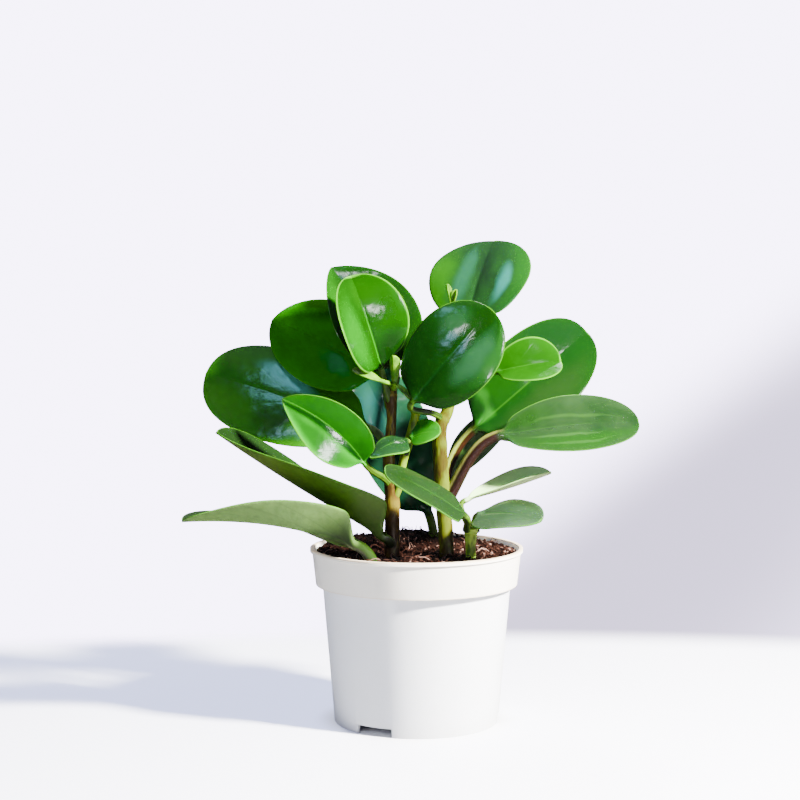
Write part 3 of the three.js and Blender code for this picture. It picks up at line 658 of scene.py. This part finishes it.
def leaf_group(name):
    """The skin of a leaf on both sides, without its patches, and its relief."""
    inputs = [("Deep", "colour"), ("Bright", "colour"), ("Under", "colour"), ("Vein", "value"),
              ("Gloss", "value")]
    outputs = [("Colour", "colour"), ("Roughness", "value"), ("Height", "value")]
    tree, s, given, out = new_group(name, inputs, outputs)
    x, y, side = s.parts(s.kept("leaf_place", "Vector"))
    far = s.maths("ABSOLUTE", x)
    place = s.object_place()
    cloud = s.step(s.noise(place, 42.0, 3.0, 0.55), 0.35, 0.7)
    edge = s.step(far, 0.4, 1.0, 0.0, 0.45)
    light = s.maths("ADD", s.times(cloud, 0.55), edge, clamp=True)
    upper = s.mix(light, given["Deep"], given["Bright"])
    curve = s.times(s.maths("POWER", far, 0.7), 2.6)
    run = s.minus(s.times(y, 5.0), curve)
    line = s.step(s.maths("PINGPONG", run, 0.5), 0.0, 0.1, 1.0, 0.0)
    fade = s.times(s.step(y, 0.0, 0.15), s.step(far, 0.8, 1.0, 1.0, 0.0))
    veins = s.times(line, fade)
    upper = s.mix(s.times(veins, given["Vein"]), upper, given["Bright"])
    mottle = s.noise(place, 260.0, 4.0, 0.6)
    shade = s.mix(0.6, given["Under"], "1c2a10")
    under = s.mix(s.step(mottle, 0.4, 0.8, 0.0, 0.5), given["Under"], shade)
    under = s.mix(s.times(veins, 0.25), under, shade)
    specks = s.step(s.noise(place, 150.0, 1.0, 0.4), 0.76, 0.79)
    under = s.mix(s.times(specks, 0.7), under, "0b0d04")
    top = s.step(side, -0.2, 0.2)
    s.feed(out["Colour"], s.mix(top, under, upper))
    uneven = s.maths("MULTIPLY_ADD", s.minus(mottle, 0.5), 0.14, given["Gloss"])
    s.feed(out["Roughness"], s.step(top, 0.0, 1.0, 0.48, uneven))
    swell = s.noise(place, 110.0, 2.0, 0.45)
    fine = s.noise(place, 900.0, 2.0, 0.5)
    relief = s.maths("MULTIPLY_ADD", fine, 0.05, swell)
    s.feed(out["Height"], s.maths("MULTIPLY_ADD", veins, -0.03, relief))
    return tree


def new_material(name):
    material = bpy.data.materials.new(name)
    material.use_nodes = True
    tree = material.node_tree
    return material, Shading(tree), tree.nodes["Principled BSDF"]


def join_shader(s, shader, colour, roughness, height, depth, **fixed):
    """Joins colour, roughness and relief to the shader, and sets the values that are the same all over."""
    s.feed(shader.inputs["Base Color"], colour)
    s.feed(shader.inputs["Roughness"], roughness)
    relief = s.fed("ShaderNodeBump", {"Strength": 1.0, "Distance": depth, "Height": height})
    s.feed(shader.inputs["Normal"], relief.outputs[0])
    for name, value in fixed.items():
        shader.inputs[name.replace("_", " ")].default_value = value


STALK = dict(under="1e3208", over="3f5f08")
# The midrib's paint, its strength, and where it fades out along the blade
RIB = ("2a6410", 0.22, 0.8)
UNDERSIDE = "2c4a16"
VEIN_STRENGTH = 0.12
SHINE = 0.45


def leaf_material(name, leaf, settings):
    """The skin, with its patches, some of them painted sheens, reflections, light and shade, then the rib,
    the margin and the stalk over them.
    """
    material, s, shader = new_material(name)
    skin = s.group(
        shared("Leaf skin", leaf_group), Deep=leaf["deep"], Bright=leaf["bright"],
        Under=leaf.get("under", UNDERSIDE), Vein=VEIN_STRENGTH, Gloss=settings.gloss)
    colour = skin.outputs["Colour"]
    sides = ((1.0, leaf.get("patches", [])), (-1.0, leaf.get("under_patches", [])))
    for side, patches in sides:
        for across, along, wide, long, turn, spot, strength in patches:
            patch = s.group(
                shared("Soft patch", patch_group), Across=across, Along=along, Half_Width=wide,
                Half_Length=long, Turn=turn, Side=side)
            share = s.times(patch.outputs["Mask"], strength)
            colour = s.mix(share, colour, spot)
    x, y, side = s.parts(s.kept("leaf_place", "Vector"))
    far = s.maths("ABSOLUTE", x)
    margin_at = s.kept("from_margin")
    from_rib = s.maths("DIVIDE", s.times(far, margin_at), s.minus(1.01, far))
    rib_paint, rib_strength, rib_end = leaf.get("rib", RIB)
    rib = s.step(from_rib, 0.25 * MM, 0.65 * MM, rib_strength, 0.0)
    rib = s.times(rib, s.step(y, rib_end - 0.3, rib_end, 1.0, 0.0))
    colour = s.mix(rib, colour, rib_paint)
    wide = settings.margin * leaf.get("margin", 1)
    margin = s.step(margin_at, wide * 0.4, wide * 1.25, 0.85 if leaf.get("young") else 0.45, 0.0)
    margin = s.times(margin, s.step(y, 0.0, 0.1))
    colour = s.mix(margin, colour, tuple(settings.margin_paint))
    petiole = leaf.get("petiole", STALK)
    turned = s.step(x, -0.45, 0.05, 1.0, 0.0) if "petiole" in leaf else s.step(side, -0.6, 0.6)
    stalk = s.mix(turned, petiole["under"], petiole["over"])
    streak = s.noise(s.object_place(scale=(1, 1, 0.4)), 350.0, 3.0)
    stalk = s.mix(s.step(streak, 0.42, 0.7, 0.0, 0.5), stalk, petiole["under"])
    colour = s.mix(s.step(y, -0.08, 0.05), stalk, colour)
    roughness = s.step(y, -0.1, 0.05, 0.5, skin.outputs["Roughness"])
    join_shader(s, shader, colour, roughness, skin.outputs["Height"], 0.35 * MM,
                Specular_IOR_Level=leaf.get("shine", SHINE), Subsurface_Weight=0.06,
                Subsurface_Radius=(0.3, 1.0, 0.05), Subsurface_Scale=2 * MM)
    return material


def shoot_material(name):
    material, s, shader = new_material(name)
    _, y, _ = s.parts(s.kept("leaf_place", "Vector"))
    place = s.object_place()
    tone = s.step(s.noise(place, 220.0, 3.0), 0.35, 0.7)
    colour = s.mix(tone, "346a06", "62900c")
    colour = s.mix(s.step(y, -0.9, -0.2, 0.6, 0.0), colour, "384114")
    roughness = s.step(s.noise(place, 700.0), 0.3, 0.7, 0.3, 0.42)
    join_shader(s, shader, colour, roughness, s.noise(place, 900.0), 0.15 * MM,
                Subsurface_Weight=0.15, Subsurface_Radius=(0.6, 1.0, 0.2), Subsurface_Scale=2 * MM)
    return material


def stem_material(name, skin):
    material, s, shader = new_material(name)
    _, along, ring = s.parts(s.kept("stem_place", "Vector"))
    tall = s.object_place(scale=(1, 1, 0.22))
    streaks = s.noise(tall, 330.0, 4.0, 0.6)
    blotch = s.noise(s.object_place(scale=(1, 1, 0.45)), 130.0, 3.0, 0.6)
    light = s.step(s.plus(blotch, skin["light_share"] - 0.5), 0.42, 0.62)
    colour = s.mix(light, skin["base"], skin["light"])
    dark = s.step(streaks, 0.52, 0.66, 0.0, 0.75)
    colour = s.mix(dark, colour, skin["dark"])
    colour = s.mix(s.step(along, 0.42, 0.1, 0.0, 0.35), colour, skin["dark"])
    colour = s.mix(s.times(ring, 0.6), colour, skin["light"])
    relief = s.plus(streaks, s.times(blotch, 0.5))
    join_shader(s, shader, colour, s.step(streaks, 0.3, 0.7, 0.38, 0.55), relief, 0.5 * MM,
                Specular_IOR_Level=0.15, Subsurface_Weight=0.06, Subsurface_Scale=1.5 * MM)
    return material


def pot_material(settings):
    material, s, shader = new_material("pot plastic")
    place = s.object_place()
    _, _, height = s.parts(place)
    top = settings.height
    band = s.step(height, top - 21.5 * MM, top - 19.5 * MM)
    colour = s.mix(band, tuple(settings.plastic), tuple(settings.rim))
    lip = s.step(height, top - 1.2 * MM, top - 0.4 * MM, 0.0, 0.7)
    colour = s.mix(lip, colour, "d8bf98")
    from_hem = s.maths("ABSOLUTE", s.minus(height, top - BAND_TALL * MM))
    colour = s.mix(s.step(from_hem, 0.2 * MM, 0.9 * MM, 0.5, 0.0), colour, "dcc7a4")
    dust = s.step(s.noise(place, 60.0, 5.0, 0.65), 0.45, 0.8, 0.0, 0.12)
    colour = s.mix(dust, colour, "cfcac0")
    # Greyer towards the foot.
    toward_foot = s.step(height, 12 * MM, 0.0, 0.0, 0.2)
    colour = s.mix(toward_foot, colour, "c9c5bb")
    haze = s.step(s.noise(place, 90.0, 4.0, 0.6), 0.3, 0.7, 0.34, 0.46)
    flow = s.noise(s.object_place(scale=(1, 1, 0.15)), 45.0, 2.0)
    relief = s.plus(s.times(s.noise(place, 2200.0, 2.0), 0.1), flow)
    join_shader(s, shader, colour, haze, relief, 0.25 * MM,
                Subsurface_Weight=0.15, Subsurface_Radius=(1.0, 0.9, 0.75), Subsurface_Scale=3 * MM)
    return material


def soil_material(settings):
    material, s, shader = new_material("soil")
    place = s.object_place()
    coarse = s.noise(place, 420.0, 5.0, 0.7)
    tone = s.kept("tone")
    colour = s.mix(s.step(coarse, 0.35, 0.7), tuple(settings.dark), tuple(settings.light))
    colour = s.mix(s.step(tone, 0.55, 0.95, 0.0, 0.85), colour, "4b3027")
    colour = s.mix(s.step(tone, 0.3, 0.0, 0.0, 0.8), colour, tuple(settings.dark))
    colour = s.mix(s.step(tone, 0.9, 0.93, 0.0, 0.75), colour, "86695d")
    join_shader(s, shader, colour, s.step(coarse, 0.3, 0.7, 0.75, 0.95), s.noise(place, 1500.0, 5.0, 0.7),
                0.6 * MM, Specular_IOR_Level=0.2)
    return material


# Pot

# In millimetres, and degrees for the first notch. The lip stands out past all that is under it.
POT_SIDES = 160
LIP_TALL, LIP_EASE, LIP_WIDE = 2.4, 0.5, 2
BAND_TALL = 20.4
LIP_PAST_BAND, LIP_PAST_HEM, LIP_PAST_BODY, LIP_PAST_FOOT = 1.2, 3.2, 7, 13.6
FLOOR_UNDERSIDE = 4.2
NOTCH = dict(width=21.5, tall=4.9, reach=12, count=3, first=-30.6)
DRAIN = dict(radius=4, ring=30)
ROUNDING = 0.45


def pot_outline(settings):
    """(radius, height), in millimetres, up the outside, over the lip and down the inside."""
    wall = settings.wall / MM
    top = settings.height / MM
    lip = settings.lip_radius / MM
    band_foot, lip_foot = top - BAND_TALL, top - LIP_TALL
    body_top, foot = lip - LIP_PAST_BODY, lip - LIP_PAST_FOOT
    band_top, band_low = lip - LIP_PAST_BAND, lip - LIP_PAST_HEM
    floor = FLOOR_UNDERSIDE + wall
    inner = foot + (body_top - foot) * floor / band_foot - wall
    return [
        (foot - wall, 0), (foot, 0), (body_top, band_foot), (band_low, band_foot), (band_top, lip_foot),
        (lip, lip_foot + LIP_EASE), (lip, top), (lip - LIP_WIDE, top), (band_top - wall, lip_foot),
        (band_low - wall, band_foot + wall), (body_top - wall, band_foot), (inner, floor),
    ]


def cut(piece, cutter):
    """Takes the cutter's space out of the piece, and the cutter with it."""
    clear_selection()
    bpy.context.view_layer.objects.active = piece
    piece.select_set(True)
    boolean = piece.modifiers.new("Cut", "BOOLEAN")
    boolean.operation, boolean.solver, boolean.object = "DIFFERENCE", "EXACT", cutter
    apply_all(piece)
    bpy.data.objects.remove(cutter)


def outward(turn):
    return Vector((sin(turn), -cos(turn), 0))


def make_pot(settings):
    """A ring extruded and widened step by step up the wall, over the lip and down to the raised floor."""
    clear_selection()
    outline = pot_outline(settings)
    start_radius, start_height = outline[0]
    bpy.ops.mesh.primitive_circle_add(
        vertices=POT_SIDES, radius=start_radius * MM, fill_type="NOTHING", location=(0, 0, start_height * MM))
    pot = bpy.context.object
    pot.name = pot.data.name = "pot_shell"
    bpy.ops.object.transform_apply(location=True)
    bpy.ops.object.mode_set(mode="EDIT")
    bpy.ops.mesh.select_all(action="SELECT")
    radius, height = start_radius, start_height
    for next_radius, next_height in outline[1:]:
        bpy.ops.mesh.extrude_region_move(
            TRANSFORM_OT_translate={"value": (0, 0, (next_height - height) * MM)})
        share = next_radius / radius
        bpy.ops.transform.resize(value=(share, share, 1))
        radius, height = next_radius, next_height
    bpy.ops.mesh.edge_face_add()
    bpy.ops.object.mode_set(mode="OBJECT")
    for part in (*pot.data.edges, *pot.data.polygons):
        part.select = False
    for vertex in pot.data.vertices:
        on_ground = vertex.co.z < 0.01 * MM
        vertex.select = on_ground and vertex.co.xy.length < (start_radius + 0.1) * MM
    bpy.ops.object.mode_set(mode="EDIT")
    bpy.ops.mesh.select_mode(type="VERT")
    bpy.ops.mesh.extrude_edges_move(TRANSFORM_OT_translate={"value": (0, 0, FLOOR_UNDERSIDE * MM)})
    bpy.ops.mesh.edge_face_add()
    bpy.ops.mesh.select_all(action="SELECT")
    bpy.ops.mesh.normals_make_consistent(inside=False)
    bpy.ops.object.mode_set(mode="OBJECT")
    for i in range(NOTCH["count"]):
        turn = radians(NOTCH["first"] + 360 / NOTCH["count"] * i)
        clear_selection()
        bpy.ops.mesh.primitive_cube_add(
            size=1, location=outward(turn) * start_radius * MM, rotation=(0, 0, turn),
            scale=(NOTCH["width"] * MM, NOTCH["reach"] * MM, 2 * NOTCH["tall"] * MM))
        cut(pot, bpy.context.object)
        clear_selection()
        bpy.ops.mesh.primitive_cylinder_add(
            vertices=32, radius=DRAIN["radius"] * MM, depth=4 * FLOOR_UNDERSIDE * MM,
            location=outward(turn + pi / NOTCH["count"]) * DRAIN["ring"] * MM)
        cut(pot, bpy.context.object)
    clear_selection()
    pot.select_set(True)
    bpy.context.view_layer.objects.active = pot
    ease = pot.modifiers.new("Ease", "BEVEL")
    ease.width, ease.segments, ease.limit_method = ROUNDING * MM, 3, "ANGLE"
    ease.angle_limit = radians(32)
    apply_all(pot)
    bpy.ops.object.shade_smooth_by_angle(angle=radians(35))
    return pot


# Soil

SOIL_AROUND, SOIL_ALONG = 160, 60
# In millimetres: how far the soil and its crumbs stay off the inside of the pot
BED_GAP, CRUMB_GAP = 0.6, 1.2
# A fibre has this many joints, this far apart, and arches up by this much
FIBRE_JOINTS, FIBRE_STEP, FIBRE_ARCH = 7, 1.3, 1.6


def soil_height(x, y):
    heaped = sum(
        tall * exp(-(((x - at_x) / wide) ** 2) - ((y - at_y) / deep) ** 2)
        for tall, at_x, at_y, wide, deep in HEAPS)
    crumbs = 0.5 * sin(0.9 * x + 1.3) * sin(0.8 * y) + 0.4 * sin(0.5 * x - 0.7 * y)
    lumps = 1.1 * noise.noise(Vector((x, y, 0)) * 0.16) + 0.6 * noise.noise(Vector((x, y, 5)) * 0.45)
    return SOIL_EDGE + heaped + crumbs + lumps


def make_soil(pot):
    """A bed of soil, drawn in where the pot hides it."""
    wall = pot.wall / MM
    rim = pot.lip_radius / MM - LIP_PAST_BAND - wall - BED_GAP
    foot = pot.lip_radius / MM - LIP_PAST_FOOT - wall
    low = SOIL_LOW.z / MM
    steps = [(0.001, low), (foot, low), (rim - 6, 77), (rim - 2, 80), (rim, SOIL_EDGE - 2)]

    def place(i, j):
        turn = 2 * pi * i / SOIL_AROUND
        if j < len(steps):
            radius, height = steps[j]
            return Vector((radius * cos(turn), radius * sin(turn), height)) * MM
        radius = rim * (SOIL_ALONG - j) / (SOIL_ALONG - len(steps))
        x, y = radius * cos(turn), radius * sin(turn)
        return Vector((x, y, soil_height(x, y))) * MM

    return rolled_sheet("soil_bed", SOIL_AROUND, SOIL_ALONG, place, lambda i, j: {"tone": 0.15}, levels=0)


def scatter(pot, settings):
    """Crumbs, then fibres, on the soil, as one mesh."""
    draw = random.Random(settings.seed)
    rim = pot.lip_radius / MM - LIP_PAST_BAND - pot.wall / MM - CRUMB_GAP
    clear_selection()
    bpy.ops.mesh.primitive_ico_sphere_add(subdivisions=1, radius=1)
    crumb = bpy.context.object
    shape = [v.co.copy() for v in crumb.data.vertices]
    faces = [tuple(f.vertices) for f in crumb.data.polygons]
    bpy.data.objects.remove(crumb)
    points, corners, tones = [], [], []
    for _ in range(settings.crumbs):
        far = rim * sqrt(draw.random())
        turn = 2 * pi * draw.random()
        x, y = far * cos(turn), far * sin(turn)
        size = draw.uniform(0.35, 0.95) * (0.7 + 0.9 * draw.random() ** 4)
        stretch = Vector((draw.uniform(0.7, 1.5), draw.uniform(0.6, 1.1), draw.uniform(0.45, 0.9)))
        axis = Vector([draw.uniform(-1, 1) for _ in range(3)]).normalized()
        spin = Quaternion(axis, draw.uniform(0, pi))
        centre = Vector((x, y, soil_height(x, y) + size * 0.35))
        tone = draw.random()
        first = len(points)
        for co in shape:
            bent = Vector([a * b for a, b in zip(co, stretch)]) * size * draw.uniform(0.8, 1.15)
            points.append((centre + spin @ bent) * MM)
            tones.append(tone)
        corners.extend(tuple(first + k for k in face) for face in faces)
    for _ in range(settings.fibres):
        far = rim * 0.95 * sqrt(draw.random())
        turn = 2 * pi * draw.random()
        place = Vector((far * cos(turn), far * sin(turn), 0))
        heading = draw.uniform(0, 2 * pi)
        tone = draw.uniform(0.6, 0.99)
        thin = draw.uniform(0.12, 0.25)
        first = len(points)
        for k in range(FIBRE_JOINTS):
            arch = FIBRE_ARCH * sin(pi * k / (FIBRE_JOINTS - 1))
            across = Vector((-sin(heading), cos(heading), 0)) * thin
            middle = Vector((place.x, place.y, soil_height(place.x, place.y) + 1.2 + arch))
            for corner in (-across, across, Vector((0, 0, 1.7 * thin))):
                points.append((middle + corner) * MM)
                tones.append(tone)
            heading += draw.uniform(-0.5, 0.5)
            place += Vector((cos(heading), sin(heading), 0)) * FIBRE_STEP
        for k in range(FIBRE_JOINTS - 1):
            for c in range(3):
                a, b = first + 3 * k + c, first + 3 * k + (c + 1) % 3
                corners.append((a, b, b + 3, a + 3))
        corners.append((first, first + 2, first + 1))
        last = first + 3 * (FIBRE_JOINTS - 1)
        corners.append((last, last + 1, last + 2))
    mesh = bpy.data.meshes.new("crumbs")
    mesh.from_pydata(points, [], corners)
    mesh.attributes.new("tone", "FLOAT", "POINT").data.foreach_set("value", tones)
    piece = bpy.data.objects.new("crumbs", mesh)
    bpy.context.scene.collection.objects.link(piece)
    return piece


# Stage

# The floor fades out in an oval that is shorter behind. It glows beyond the pot's foot; under the foot
# it does not, as painted shade.
FLOOR_RADIUS = 4
FLOOR_EDGE = (0.48, 0.64)
SHORTER_BEHIND = 0.7
PAINTED_FOOT_SHADE = (0.043, 0.06)
FLOOR_GLOW = 1.5
# How bright the surroundings are: as light, as seen in gloss, and as the backdrop of the picture
AMBIENT = 0.5
REFLECTED = 0.08
OVERHEAD = 0.45
BACKDROP = 9.3
BACKDROP_IN_PAINTED_SHADOW = 2.0
# The backdrop's painted shadow: how its edge slants, how soft that is, and how far it keeps to the back
SHADE_SLANT = 0.75
SHADE_EDGE = (0.13, 0.25)
SHADE_BACK = (0.9, 0.98)
# Where the camera stands, in millimetres, how far it looks down, in degrees, and where the lamps point
CAMERA_PLACE = (-9.3, -950, 239.8)
CAMERA_DIP = 3.54
LAMPS_FACE = Vector((-0.02, -0.02, 0.19))


def make_floor(settings):
    """A pale floor that glows a little in the picture, beyond a painted shade under the pot's foot. It
    gives back less light than it seems to.
    """
    clear_selection()
    bpy.ops.mesh.primitive_circle_add(vertices=96, radius=FLOOR_RADIUS, fill_type="NGON")
    floor = bpy.context.object
    floor.name = "floor"
    material, s, shader = new_material("floor")
    x, y, _ = s.parts(s.object_place())
    back = s.plus(y, s.times(s.plus(y, s.maths("ABSOLUTE", y)), SHORTER_BEHIND))
    # Painted shade: the glow stops under the pot's foot.
    glow_outside_foot_shade = s.step(s.distance(x, y), *PAINTED_FOOT_SHADE)
    path = s.node("ShaderNodeLightPath").outputs
    seen = path["Is Camera Ray"]
    bounced = s.mix(path["Is Glossy Ray"], "8e9094", "2a2b2d")
    surface = {
        "Alpha": s.step(s.distance(x, back), *FLOOR_EDGE, 1.0, 0.0),
        "Emission Strength": s.times(s.times(seen, glow_outside_foot_shade), FLOOR_GLOW),
        "Emission Color": "a9b9ff",
        "Base Color": s.mix(seen, bounced, tuple(settings.floor)),
        "Roughness": 0.55,
    }
    for name, value in surface.items():
        s.feed(shader.inputs[name], value)
    floor.data.materials.append(material)


def add_lamps(settings):
    """Lights fall on colour only, and windows show in gloss only: (name, place, size, power, tint)."""
    lights = (
        ("key", (0.95, -0.55, 0.85), (0.13, 0.13), settings.key, "fffaf3"),
        ("fill", (-0.9, -0.9, 0.7), (0.35, 0.35), 5, "cfe2ff"),
        ("back", (-0.5, 1.1, 0.9), (0.4, 0.4), 22, "f2f6ff"),
    )
    windows = (
        ("low window", (0.48, -1.1, 0.13), (0.22, 0.12), 4, "ffffff"),
        ("side window", (0.96, -0.66, 0.42), (0.2, 0.15), 7, "ffffff"),
        ("front sky", (-0.2, -1.12, 0.66), (0.2, 0.14), 1.1, "9fd4ff"),
        ("rear window", (0.27, 0.5, 1.15), (0.16, 0.16), 3, "ffffff"),
        ("upper window", (-0.1, -1.12, 0.74), (0.11, 0.09), 1.0, "ffffff"),
        ("high sky", (-0.28, -0.79, 1.08), (0.26, 0.26), 1.8, "84d4f0"),
    )
    for name, place, (wide, tall), power, tint in lights + windows:
        bpy.ops.object.light_add(type="AREA", location=place)
        lamp = bpy.context.object
        lamp.name = name
        lamp.visible_camera = False
        lamp.visible_glossy = name in [window[0] for window in windows]
        lamp.visible_diffuse = not lamp.visible_glossy
        lamp.data.shape = "RECTANGLE"
        lamp.data.size, lamp.data.size_y = wide, tall
        lamp.data.energy = power
        lamp.data.color = paint(tint)[:3]
        lamp.rotation_euler = (LAMPS_FACE - Vector(place)).to_track_quat("-Z", "Y").to_euler()


def make_surroundings():
    """Even light all round, dark in gloss but for a lighter top, and a backdrop with a painted shadow
    low at the right.
    """
    world = bpy.data.worlds.new("studio")
    bpy.context.scene.world = world
    world.use_nodes = True
    s = Shading(world.node_tree)
    backdrop = world.node_tree.nodes["Background"].inputs
    path = s.node("ShaderNodeLightPath").outputs
    east, north, up = s.parts(s.node("ShaderNodeTexCoord").outputs["Generated"])
    mirrored = s.step(up, 0.6, 1.0, REFLECTED, OVERHEAD)
    light = s.mix_values(path["Is Glossy Ray"], AMBIENT, mirrored)
    # A painted shadow on the backdrop, low at the right.
    slant = s.minus(s.times(east, SHADE_SLANT), up)
    painted_shadow = s.times(s.step(slant, *SHADE_EDGE), s.step(north, *SHADE_BACK))
    shown = s.step(painted_shadow, 0.0, 1.0, BACKDROP, BACKDROP_IN_PAINTED_SHADOW)
    s.feed(backdrop["Color"], "e6dcff")
    s.feed(backdrop["Strength"], s.mix_values(path["Is Camera Ray"], light, shown))


def add_camera(settings):
    bpy.ops.object.camera_add(
        location=[part * MM for part in CAMERA_PLACE], rotation=(radians(90 - CAMERA_DIP), 0, 0))
    camera = bpy.context.object
    camera.data.lens = settings.lens
    camera.data.sensor_width = 36
    bpy.context.scene.camera = camera


# Operators

class PEPEROMIA_OT_pot(bpy.types.Operator):
    """Add the nursery pot"""
    bl_idname = "peperomia.pot"
    bl_label = "Pot"

    def execute(self, context):
        settings = context.scene.peperomia_pot
        finished(make_pot(settings), "pot", pot_material(settings))
        return {"FINISHED"}


class PEPEROMIA_OT_soil(bpy.types.Operator):
    """Add the soil with its crumbs and fibres"""
    bl_idname = "peperomia.soil"
    bl_label = "Soil"

    def execute(self, context):
        scene = context.scene
        bed = make_soil(scene.peperomia_pot)
        crumbs = scatter(scene.peperomia_pot, scene.peperomia_soil)
        piece = join([bed, crumbs], "soil_bed")
        finished(piece, "soil", soil_material(scene.peperomia_soil))
        return {"FINISHED"}


class PEPEROMIA_OT_stems(bpy.types.Operator):
    """Add the four stems"""
    bl_idname = "peperomia.stems"
    bl_label = "Stems"

    def execute(self, context):
        for name, stem in STEMS.items():
            piece = make_stem("fine_" + name, stem)
            finished(piece, name, stem_material(name + " skin", stem["skin"]))
        return {"FINISHED"}


class PEPEROMIA_OT_leaves(bpy.types.Operator):
    """Add the leaves with their stalks"""
    bl_idname = "peperomia.leaves"
    bl_label = "Leaves"

    def execute(self, context):
        settings = context.scene.peperomia_plant
        for name, leaf in LEAVES.items():
            piece = make_leaf("fine_" + name, leaf, settings)
            finished(piece, name, leaf_material(name + " skin", leaf, settings))
        return {"FINISHED"}


class PEPEROMIA_OT_shoots(bpy.types.Operator):
    """Add the growing tips"""
    bl_idname = "peperomia.shoots"
    bl_label = "Shoots"

    def execute(self, context):
        settings = context.scene.peperomia_plant
        skin = shoot_material("shoot skin")
        for name, leaves in SHOOTS.items():
            parts = [
                make_leaf(f"{name}_{i}", leaf, settings, stalk_rings=6, blade_rings=14)
                for i, leaf in enumerate(leaves)
            ]
            finished(join(parts, "fine_" + name), name, skin)
        return {"FINISHED"}


class PEPEROMIA_OT_stage(bpy.types.Operator):
    """Add the floor, the lights, the backdrop and the camera"""
    bl_idname = "peperomia.stage"
    bl_label = "Stage"

    def execute(self, context):
        settings = context.scene.peperomia_stage
        make_floor(settings)
        add_lamps(settings)
        make_surroundings()
        add_camera(settings)
        return {"FINISHED"}


class PEPEROMIA_PT_panel(bpy.types.Panel):
    bl_label = "Peperomia"
    bl_space_type = "VIEW_3D"
    bl_region_type = "UI"
    bl_category = "Peperomia"

    def draw(self, context):
        for name, group in GROUPS.items():
            box = self.layout.box()
            box.label(text=name.split("_")[1].capitalize())
            for setting in group.__annotations__:
                box.prop(getattr(context.scene, name), setting)
        for step in STEPS:
            self.layout.operator(step)


STEPS = ("peperomia.stage", "peperomia.pot", "peperomia.soil", "peperomia.stems", "peperomia.leaves",
         "peperomia.shoots")
GROUPS = {"peperomia_pot": PotSettings, "peperomia_plant": PlantSettings, "peperomia_soil": SoilSettings,
          "peperomia_stage": StageSettings}
CLASSES = (*GROUPS.values(), PEPEROMIA_OT_pot, PEPEROMIA_OT_soil, PEPEROMIA_OT_stems, PEPEROMIA_OT_leaves,
           PEPEROMIA_OT_shoots, PEPEROMIA_OT_stage, PEPEROMIA_PT_panel)


def register():
    for made in CLASSES:
        bpy.utils.register_class(made)
    for name, settings in GROUPS.items():
        setattr(bpy.types.Scene, name, bpy.props.PointerProperty(type=settings))


def unregister():
    for name in GROUPS:
        delattr(bpy.types.Scene, name)
    for made in reversed(CLASSES):
        bpy.utils.unregister_class(made)


def main():
    register()
    for step in STEPS:
        group, name = step.split(".")
        getattr(getattr(bpy.ops, group), name)()


if __name__ == "__main__":
    main()
